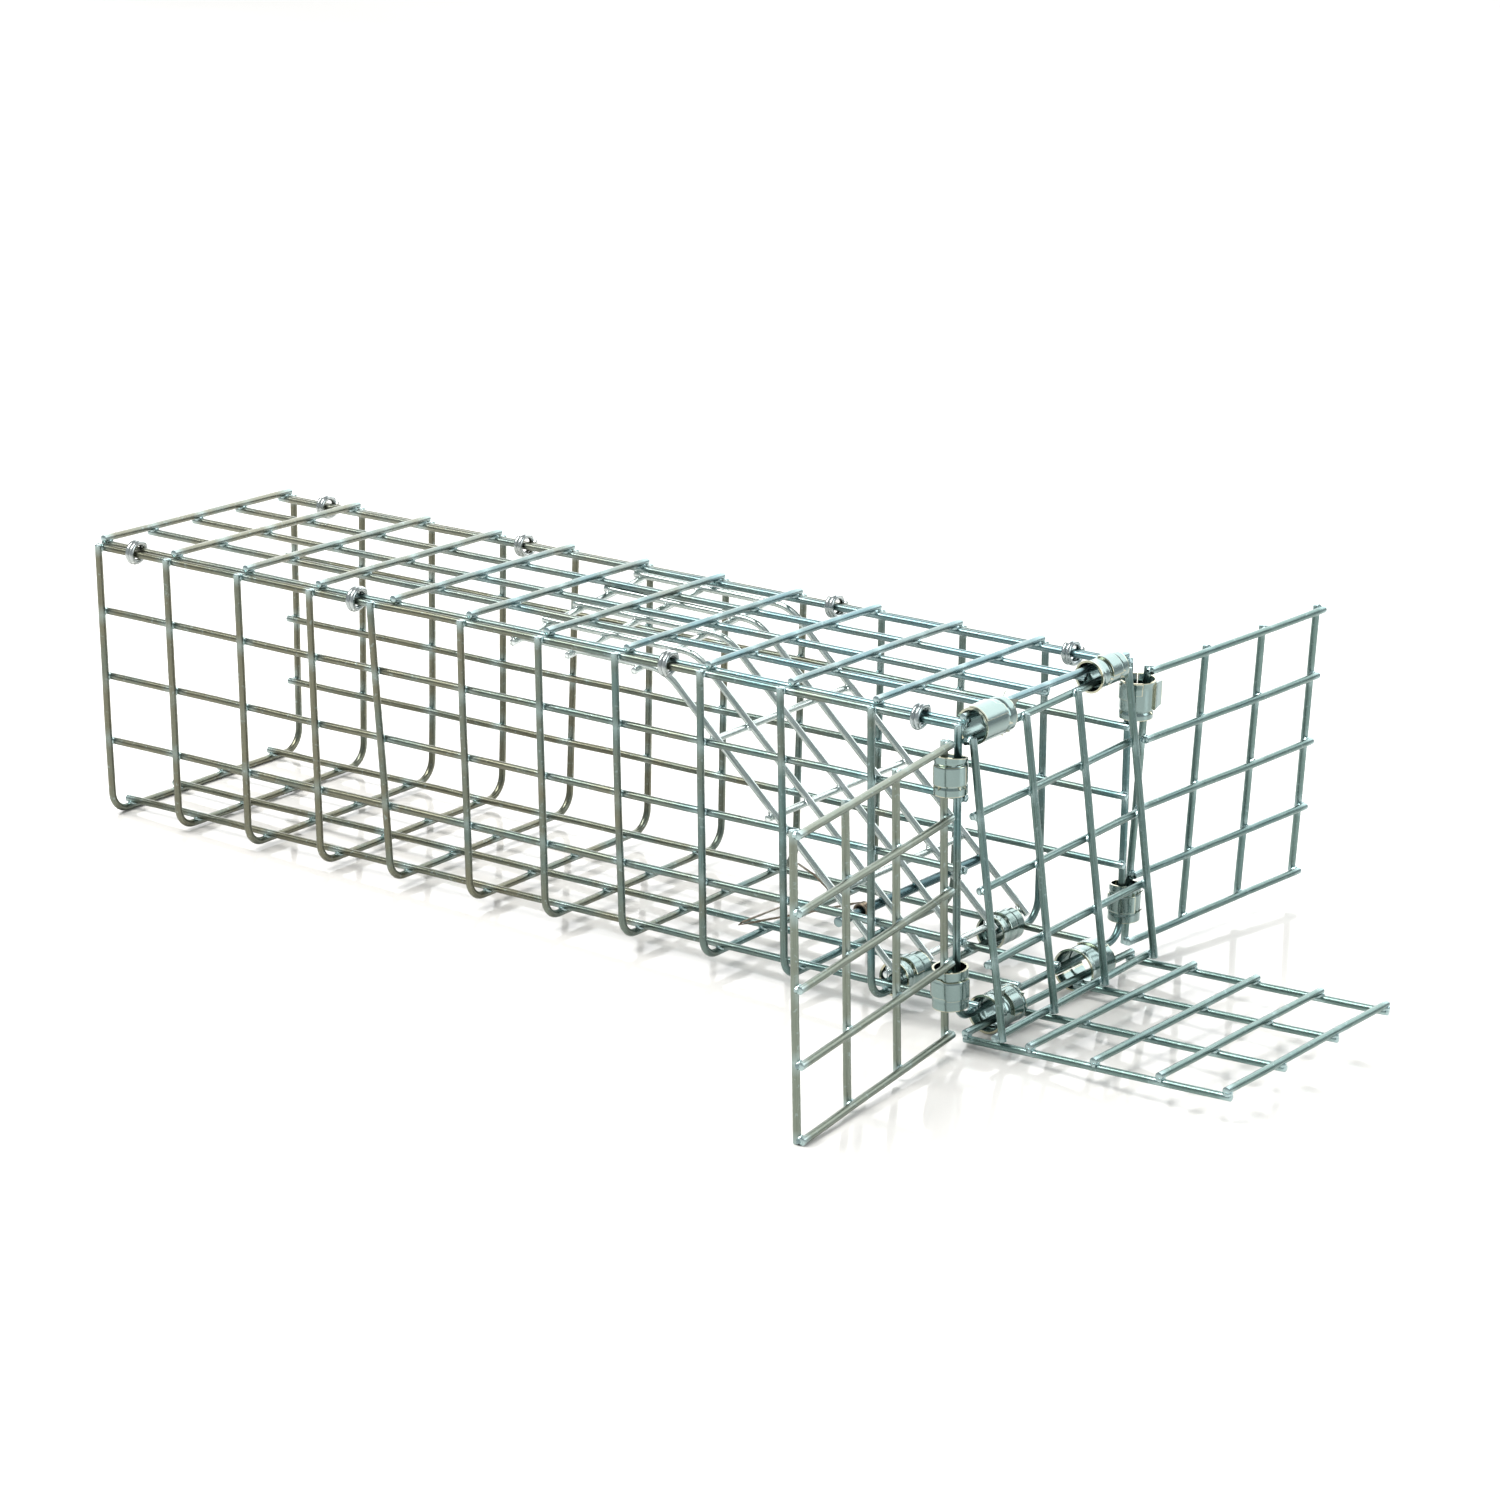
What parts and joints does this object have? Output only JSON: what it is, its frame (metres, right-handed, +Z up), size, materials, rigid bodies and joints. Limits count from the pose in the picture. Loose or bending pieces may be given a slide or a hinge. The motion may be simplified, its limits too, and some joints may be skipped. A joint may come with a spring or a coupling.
{
  "type": "live catch trap",
  "caption": "Welded wire tunnel for catching small animals alive, open at the rear, with a sprung one-way ramp inside and hinged mesh flaps round its mouth.",
  "frame": {"origin": "middle of the footprint at the lowest point of the trap with its flaps as in the picture", "axes": "+X along the trap from the open rear end to the mouth, +Y across it to the side without the spring, +Z up"},
  "size_m": [0.3646, 0.2496, 0.088],
  "materials": {
    "cage_wire": "bright zinc plated drawn wire with bright weld spots",
    "flap_wire": "bright zinc plated drawn wire",
    "ramp_wire": "bright zinc plated drawn wire, shinier than the cage",
    "ring_wire": "bright galvanised fence ring wire",
    "clip_sheet": "zinc plated sheet steel with yellowish cut edges",
    "spring_wire": "oil tempered spring wire"
  },
  "bodies": {
    "cage": {"cage_body": "cage_wire", "lid_panel": "cage_wire", "near_ring_1": "ring_wire", "near_ring_2": "ring_wire", "near_ring_3": "ring_wire", "near_ring_4": "ring_wire", "far_ring_1": "ring_wire", "far_ring_2": "ring_wire", "far_ring_3": "ring_wire", "far_ring_4": "ring_wire", "near_clip_upper": "clip_sheet", "near_clip_lower": "clip_sheet", "far_clip_upper": "clip_sheet", "far_clip_lower": "clip_sheet", "top_clip_near": "clip_sheet", "top_clip_far": "clip_sheet", "floor_clip_near": "clip_sheet", "floor_clip_far": "clip_sheet", "ramp_clip_near": "clip_sheet", "ramp_clip_far": "clip_sheet"},
    "near_flap_body": {"near_flap": "flap_wire"},
    "far_flap_body": {"far_flap": "flap_wire"},
    "top_flap_body": {"top_flap": "flap_wire"},
    "floor_flap_body": {"floor_flap": "flap_wire"},
    "ramp": {"ramp_door": "ramp_wire", "spring_coil": "spring_wire"},
    "leg": {"spring_leg": "spring_wire"}
  },
  "joints": [
    {"name": "near_flap_hinge", "type": "hinge", "parent": "cage", "child": "near_flap_body", "pos_m": [0.0976, -0.04795, 0.08046], "axis": [-0.018, -0.0449, 0.9988], "range_deg": [-90, 50]},
    {"name": "far_flap_hinge", "type": "hinge", "parent": "cage", "child": "far_flap_body", "pos_m": [0.1019, 0.04505, 0.08026], "axis": [0.0598, -0.0419, 0.9973], "range_deg": [-40, 92]},
    {"name": "top_flap_hinge", "type": "hinge", "parent": "cage", "child": "top_flap_body", "pos_m": [0.1007, -0.04215, 0.08056], "axis": [0, 0.9998, 0.02], "range_deg": [-82, 0]},
    {"name": "floor_flap_hinge", "type": "hinge", "parent": "cage", "child": "floor_flap_body", "pos_m": [0.1017, -0.03835, 0.00371], "axis": [0.0449, 0.9988, 0.018], "range_deg": [0, 70]},
    {"name": "ramp_hinge", "type": "hinge", "parent": "cage", "child": "ramp", "pos_m": [0.0734, 0.0018, 0.01116], "axis": [0, 1, 0], "range_deg": [-28, 0], "stiffness_Nm_per_rad": 0.04, "springref_deg": 42.97},
    {"name": "spring_leg_turn", "type": "hinge", "parent": "ramp", "child": "leg", "pos_m": [0.05978, -0.02255, 0.02291], "axis": [0, 1, 0], "range_deg": [0, 40.4]}
  ],
  "couplings": [
    {"joint": "spring_leg_turn", "follows": "ramp_hinge", "ratio": -1.389}
  ]
}
